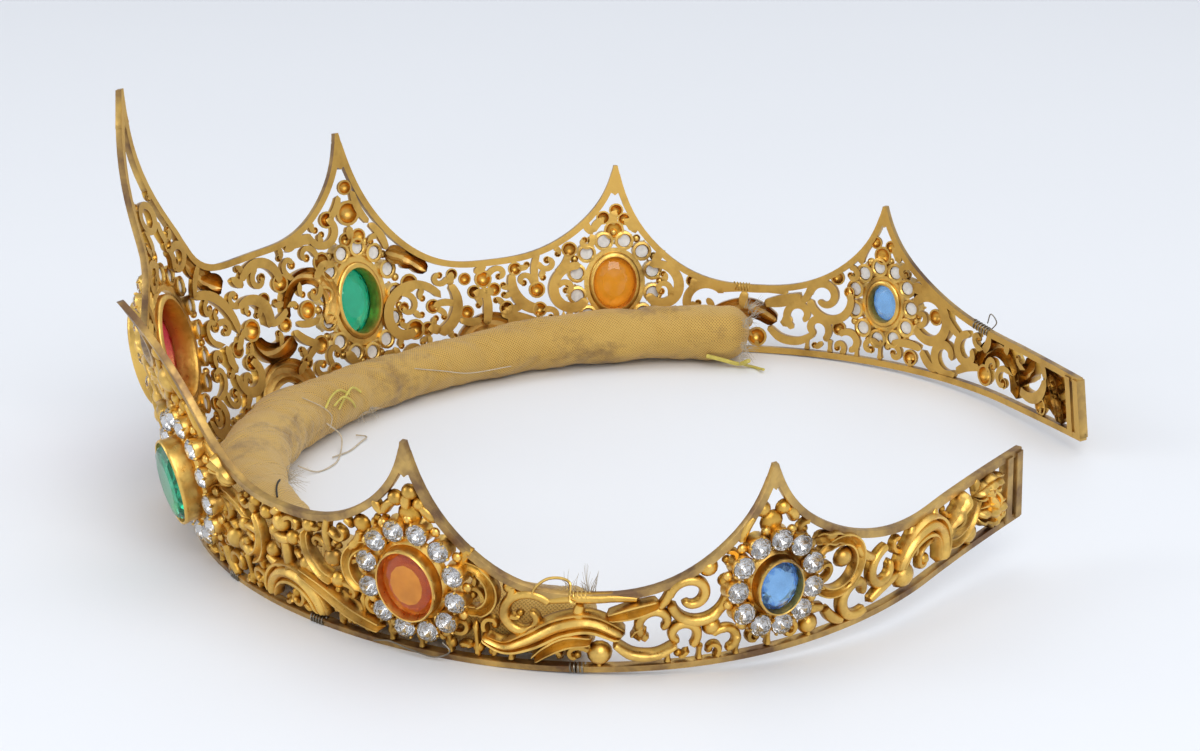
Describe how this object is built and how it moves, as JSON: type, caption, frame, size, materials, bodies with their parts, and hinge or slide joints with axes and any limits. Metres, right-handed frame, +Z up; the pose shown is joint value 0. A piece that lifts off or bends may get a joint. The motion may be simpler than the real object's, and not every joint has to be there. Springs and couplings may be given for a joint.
{
  "type": "statue crown",
  "caption": "Small gilt crown for a statue, open at the back, of pierced scrollwork with a peaked top rim, box-set stones ringed by rhinestones and a padded inner roll.",
  "frame": {"origin": "bottom centre of the crown's box, on the surface that it stands on", "axes": "+Z up, -Y out of the front peak, +Y out of the open back, +X towards the wearer's left arm of the crown"},
  "size_m": [0.1746, 0.171, 0.0686],
  "materials": {
    "gilt_brass": "worn gilding with brown tarnish",
    "clear_paste": "foiled faceted rhinestones in claws",
    "gold_cloth": "worn gold cloth, stained brown",
    "red_glass": "polished, faceted",
    "green_glass": "polished, faceted",
    "orange_glass": "polished, faceted",
    "blue_glass": "polished, faceted"
  },
  "bodies": {
    "root": {"front_openwork": "gilt_brass", "left_wing_openwork": "gilt_brass", "right_wing_openwork": "gilt_brass", "red_setting": "gilt_brass", "left_green_setting": "gilt_brass", "right_green_setting": "gilt_brass", "left_orange_setting": "gilt_brass", "right_orange_setting": "gilt_brass", "left_blue_setting": "gilt_brass", "right_blue_setting": "gilt_brass", "red_stone": "red_glass", "left_green_stone": "green_glass", "right_green_stone": "green_glass", "left_orange_stone": "orange_glass", "right_orange_stone": "orange_glass", "left_blue_stone": "blue_glass", "right_blue_stone": "blue_glass", "red_halo": "clear_paste", "left_green_halo": "clear_paste", "right_green_halo": "clear_paste", "left_orange_halo": "clear_paste", "right_orange_halo": "clear_paste", "left_blue_halo": "clear_paste", "right_blue_halo": "clear_paste", "padded_roll": "gold_cloth"}
  },
  "joints": []
}
